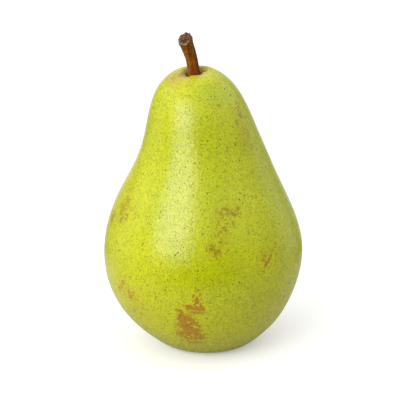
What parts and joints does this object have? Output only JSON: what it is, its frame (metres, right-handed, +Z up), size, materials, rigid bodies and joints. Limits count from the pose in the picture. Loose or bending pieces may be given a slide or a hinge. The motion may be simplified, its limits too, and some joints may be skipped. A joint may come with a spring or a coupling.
{
  "type": "pear",
  "caption": "Whole green-yellow pear with a broad belly, a tapering neck and a short woody stem, standing on its small flat foot.",
  "frame": {"origin": "on the ground under the middle of the belly, at the bottom centre of the bounding box", "axes": "+Z up along the fruit from foot to stem, the stem leaning towards -X, -Y towards the side with the large russet patch"},
  "size_m": [0.0702, 0.0703, 0.1128],
  "materials": {
    "skin": "thin waxy skin, satin gloss, yellow-green with small olive pores and orange-brown russet patches",
    "stem_wood": "dry brown bark with fine length-wise ridges and a rough grey-brown end",
    "dried_sepal": "dry, dark brown and matt",
    "dried_stamen": "withered, nearly black and matt"
  },
  "bodies": {
    "root": {"fruit": "skin", "stem": "stem_wood", "sepal_1": "dried_sepal", "sepal_2": "dried_sepal", "sepal_3": "dried_sepal", "sepal_4": "dried_sepal", "sepal_5": "dried_sepal", "dry_stamens": "dried_stamen"}
  },
  "joints": []
}
